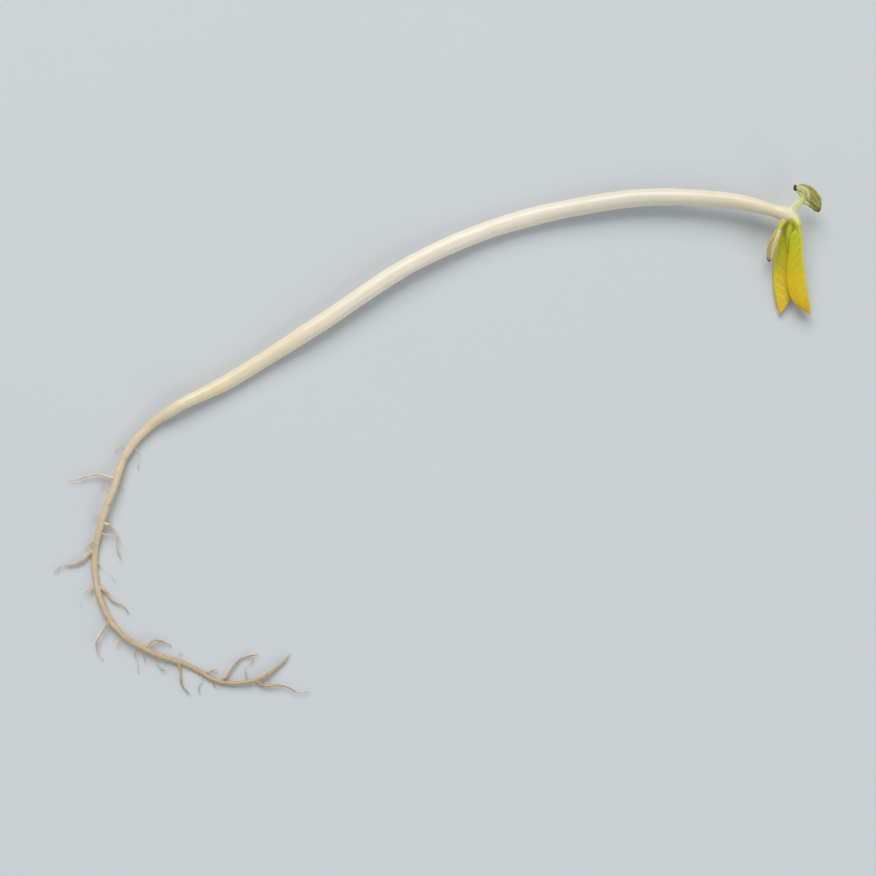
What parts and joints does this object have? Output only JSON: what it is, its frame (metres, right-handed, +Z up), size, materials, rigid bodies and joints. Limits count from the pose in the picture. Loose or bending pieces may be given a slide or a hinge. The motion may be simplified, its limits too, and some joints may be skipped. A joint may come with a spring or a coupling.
{
  "type": "mung bean sprout",
  "caption": "Mung bean sprout as picked, lying flat: long white arching stem, thin curling root with side rootlets, shrivelled seed halves and folded yellow young leaves.",
  "frame": {"origin": "on the surface that the sprout lies on, under the middle of its outline", "axes": "+X towards the leaf end along the longest extent, +Y towards the outside of the stem's arch, +Z up off the surface"},
  "size_m": [0.076, 0.0503, 0.0033],
  "materials": {
    "stem": "moist translucent warm white plant tissue",
    "root": "satin cream to light tan root skin",
    "shoot_tip": "moist yellow green plant tissue",
    "leaf": "satin yellow young leaf with raised veins",
    "seed_half_outer": "shrivelled greenish brown seed half",
    "seed_half_inner": "shrivelled pale yellow seed half"
  },
  "bodies": {
    "root": {"stem": "stem", "root": "root", "shoot_tip": "shoot_tip", "leaf_upper": "leaf", "leaf_lower": "leaf", "seed_half_outer": "seed_half_outer", "seed_half_inner": "seed_half_inner"}
  },
  "joints": []
}
